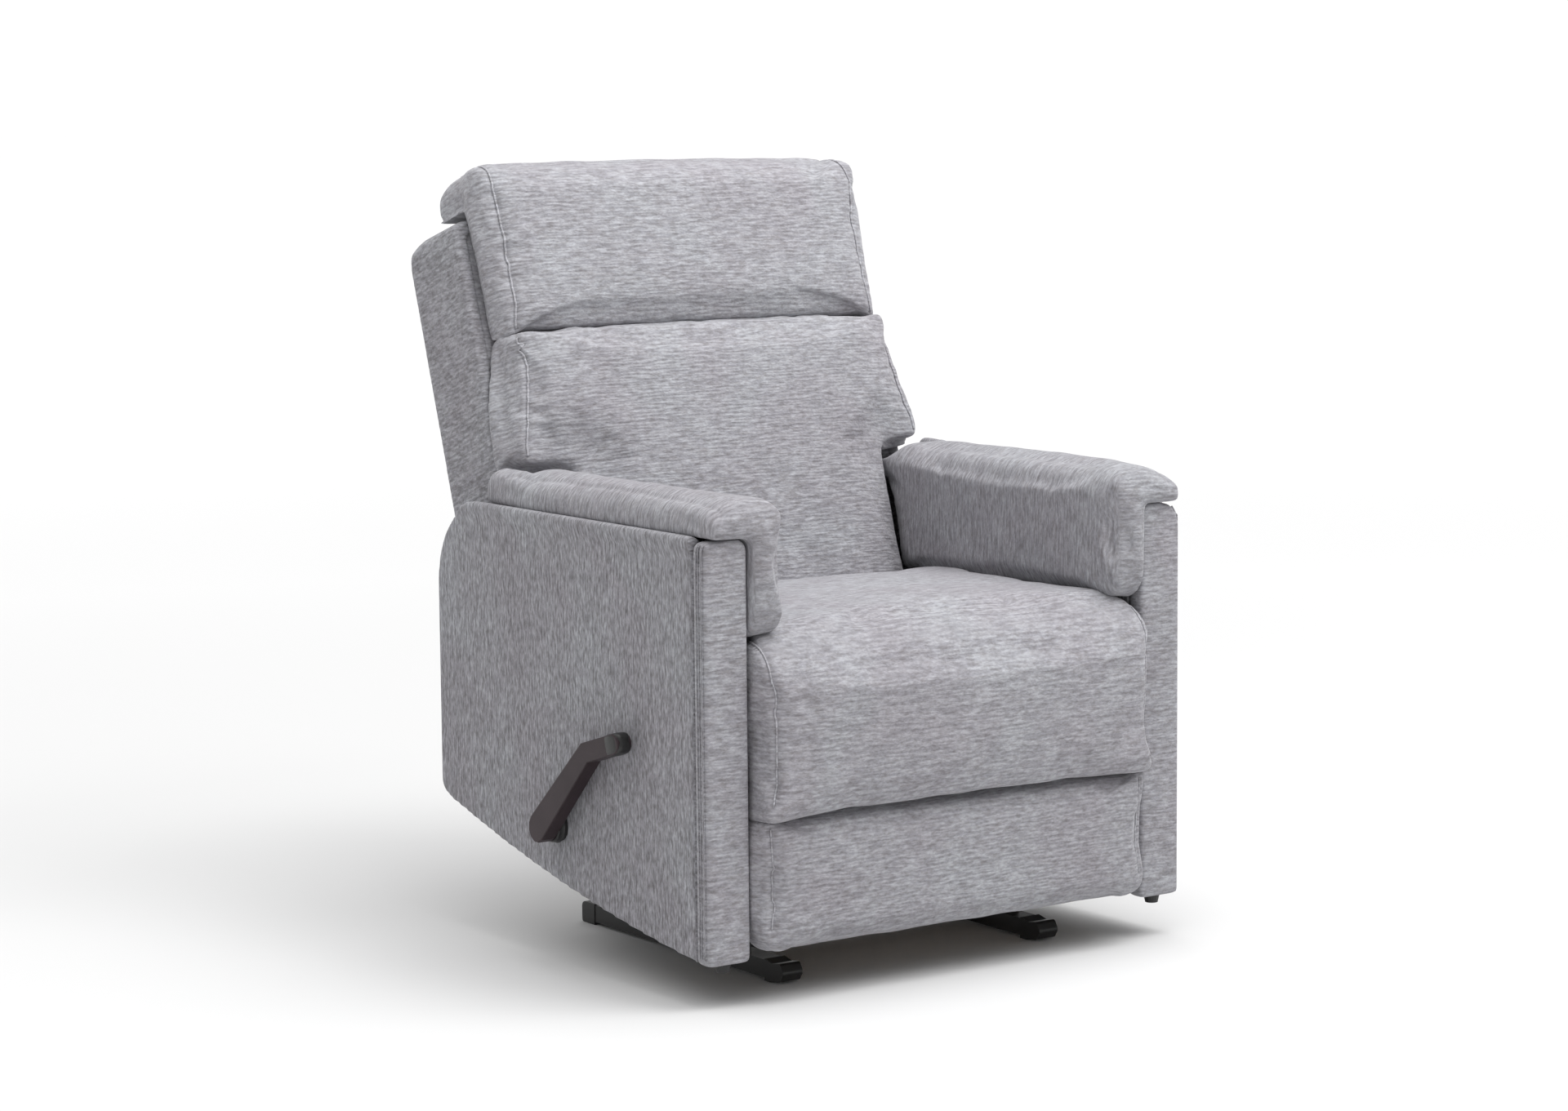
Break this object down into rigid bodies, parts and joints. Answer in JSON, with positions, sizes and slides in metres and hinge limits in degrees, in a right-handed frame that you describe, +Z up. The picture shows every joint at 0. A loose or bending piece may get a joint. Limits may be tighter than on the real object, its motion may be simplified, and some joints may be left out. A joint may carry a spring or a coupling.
{
  "type": "recliner armchair",
  "caption": "Upholstered recliner armchair on a glider base, with padded arms, a two-cushion back, a fold-out footrest and a side lever.",
  "frame": {"origin": "on the floor below the middle of the chair's outer box", "axes": "+Z up, the sitter faces -Y, the sitter's left is +X"},
  "size_m": [0.817, 0.8708, 1.0643],
  "materials": {
    "chenille": "grey chenille weave with slubs",
    "black_steel": "satin black powder coat",
    "zinc_steel": "zinc plated",
    "spring_steel": "oiled spring wire",
    "black_plastic": "matt black moulded plastic",
    "lever_plastic": "satin dark brown moulded plastic",
    "plywood": "bare plywood and hardwood"
  },
  "bodies": {
    "base": {"base_tube_front": "black_steel", "base_tube_rear": "black_steel", "floor_rail_left": "black_steel", "floor_rail_right": "black_steel", "rail_heel_left": "black_plastic", "rail_heel_right": "black_plastic", "rail_toe_left": "black_plastic", "rail_toe_right": "black_plastic", "swing_bracket_left": "black_steel", "swing_bracket_right": "black_steel", "swing_shaft_front": "zinc_steel", "swing_shaft_rear": "zinc_steel"},
    "front_swing": {"swing_link_front_left": "zinc_steel", "swing_link_front_right": "zinc_steel"},
    "rear_swing": {"swing_link_rear_left": "zinc_steel", "swing_link_rear_right": "zinc_steel"},
    "back": {"back_bracket_left": "black_steel", "back_bracket_right": "black_steel", "back_frame": "plywood", "back_shell": "chenille", "headrest_cushion": "chenille", "lumbar_cushion": "chenille"},
    "lift_links": {"lift_link_left": "zinc_steel", "lift_link_right": "zinc_steel", "torque_tube": "zinc_steel"},
    "cross_links": {"cross_link_left": "zinc_steel", "cross_link_right": "zinc_steel"},
    "front_links": {"front_link_left": "zinc_steel", "front_link_right": "zinc_steel"},
    "footrest": {"footrest_board": "plywood", "footrest_bracket_left": "zinc_steel", "footrest_bracket_right": "zinc_steel", "footrest_pad": "chenille"},
    "lever": {"lever_handle": "lever_plastic", "lever_shaft": "zinc_steel"},
    "carriage": {"arm_board_left": "plywood", "arm_board_right": "plywood", "arm_front_left": "chenille", "arm_front_right": "chenille", "arm_glide_left": "black_plastic", "arm_glide_right": "black_plastic", "arm_pad_left": "chenille", "arm_pad_right": "chenille", "arm_side_panel_left": "chenille", "arm_side_panel_right": "chenille", "hanger_plate_left": "black_steel", "hanger_plate_right": "black_steel", "lever_bezel": "black_plastic", "mechanism_plate_left": "black_steel", "mechanism_plate_right": "black_steel", "seat_cushion": "chenille", "seat_front_rail": "plywood", "seat_rear_rail": "plywood", "seat_spring_1": "spring_steel", "seat_spring_2": "spring_steel", "seat_spring_3": "spring_steel", "seat_spring_4": "spring_steel", "seat_tube_front": "black_steel", "seat_tube_rear": "black_steel"}
  },
  "joints": [
    {"name": "glide", "type": "hinge", "parent": "base", "child": "front_swing", "pos_m": [0.0185, -0.20137, 0.175], "axis": [1, 0, 0], "range_deg": [-20, 20]},
    {"name": "glide_level", "type": "hinge", "parent": "front_swing", "child": "carriage", "pos_m": [0.0185, -0.20137, 0.07], "axis": [1, 0, 0], "range_deg": [-20.2, 20.2]},
    {"name": "glide_rear", "type": "hinge", "parent": "base", "child": "rear_swing", "pos_m": [0.0185, 0.06863, 0.175], "axis": [1, 0, 0], "range_deg": [-20.2, 20.2]},
    {"name": "recline", "type": "hinge", "parent": "carriage", "child": "back", "pos_m": [0.0185, 0.10363, 0.285], "axis": [-1, 0, 0], "range_deg": [0, 28]},
    {"name": "footrest_lift", "type": "hinge", "parent": "carriage", "child": "lift_links", "pos_m": [0.0185, -0.19137, 0.215], "axis": [-1, 0, 0], "range_deg": [0, 145]},
    {"name": "footrest_cross", "type": "hinge", "parent": "lift_links", "child": "cross_links", "pos_m": [0.0185, -0.07337, 0.194], "axis": [-1, 0, 0], "range_deg": [-113.4, 0]},
    {"name": "footrest_front", "type": "hinge", "parent": "cross_links", "child": "front_links", "pos_m": [0.0185, -0.32337, 0.128], "axis": [-1, 0, 0], "range_deg": [-64.8, 0]},
    {"name": "footrest_turn", "type": "hinge", "parent": "front_links", "child": "footrest", "pos_m": [0.0185, -0.33937, 0.225], "axis": [-1, 0, 0], "range_deg": [0, 125]},
    {"name": "lever_pull", "type": "hinge", "parent": "carriage", "child": "lever", "pos_m": [-0.3815, -0.04037, 0.189], "axis": [-1, 0, 0], "range_deg": [0, 70]}
  ],
  "couplings": [
    {"joint": "glide_level", "follows": "glide", "ratio": -1},
    {"joint": "glide_rear", "follows": "glide", "ratio": 1},
    {"joint": "footrest_cross", "follows": "footrest_lift", "ratio": -0.78},
    {"joint": "footrest_front", "follows": "footrest_lift", "ratio": -0.445},
    {"joint": "footrest_turn", "follows": "footrest_lift", "ratio": 0.86},
    {"joint": "lever_pull", "follows": "footrest_lift", "ratio": 0.48}
  ]
}
